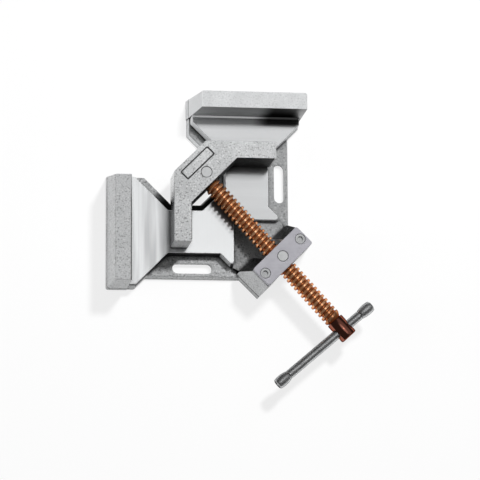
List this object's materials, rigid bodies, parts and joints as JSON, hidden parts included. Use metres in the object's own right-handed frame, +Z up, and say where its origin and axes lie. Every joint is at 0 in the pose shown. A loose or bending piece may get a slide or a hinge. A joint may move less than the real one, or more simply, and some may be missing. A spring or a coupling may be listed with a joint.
{
  "type": "corner clamp",
  "caption": "Right-angle corner clamp: a slotted casting with two fixed jaws, and an L-shaped moving jaw pushed by a swivelling spindle with a sliding bar handle.",
  "frame": {"origin": "on the vertical swivel axis of the nut, at the underside of the casting", "axes": "+Z up out of the underside; -X runs along the arm to the left fixed jaw and +Y along the arm to the upper fixed jaw; the spindle lies near the diagonal between them"},
  "size_m": [0.2573, 0.29, 0.059],
  "materials": {
    "casting": "bare light-alloy casting, fine sand texture, machined pads and clamping faces",
    "strap": "smooth grey steel strap",
    "steel": "bright turned steel",
    "copper": "coppered steel thread",
    "dark": "dark polished steel"
  },
  "bodies": {
    "base": {"base_casting": "casting", "cover_strap": "strap", "strap_screw_left": "steel", "strap_screw_right": "steel"},
    "nut": {"swivel_nut": "steel"},
    "thrust": {"thrust_head": "steel", "neck_dowel_left": "steel", "neck_dowel_right": "steel"},
    "spindle": {"spindle": "copper"},
    "handle": {"handle_bar": "dark", "handle_knob_short_side": "dark", "handle_knob_long_side": "dark"},
    "jaw": {"moving_jaw": "casting"}
  },
  "joints": [
    {"name": "nut_swivel", "type": "hinge", "parent": "base", "child": "nut", "pos_m": [0, 0, 0.037], "axis": [0, 0, 1], "range_deg": [-1.2, 6.8]},
    {"name": "spindle_feed", "type": "slide", "parent": "nut", "child": "thrust", "axis": [-0.6717, 0.7408, 0], "range_m": [-0.07, 0.04]},
    {"name": "spindle_turn", "type": "hinge", "parent": "thrust", "child": "spindle", "pos_m": [0, 0, 0.037], "axis": [-0.6717, 0.7408, 0], "range_deg": [-5036, 2876]},
    {"name": "handle_slide", "type": "slide", "parent": "spindle", "child": "handle", "axis": [-0.7638, -0.6455, 0], "range_m": [-0.0603, 0.0133]},
    {"name": "jaw_swivel", "type": "hinge", "parent": "thrust", "child": "jaw", "pos_m": [-0.07322, 0.08075, 0.037], "axis": [0, 0, 1], "range_deg": [-7.8, 2.2]}
  ],
  "couplings": [
    {"joint": "spindle_feed", "follows": "spindle_turn", "m_per_rad": 0.00079577}
  ]
}
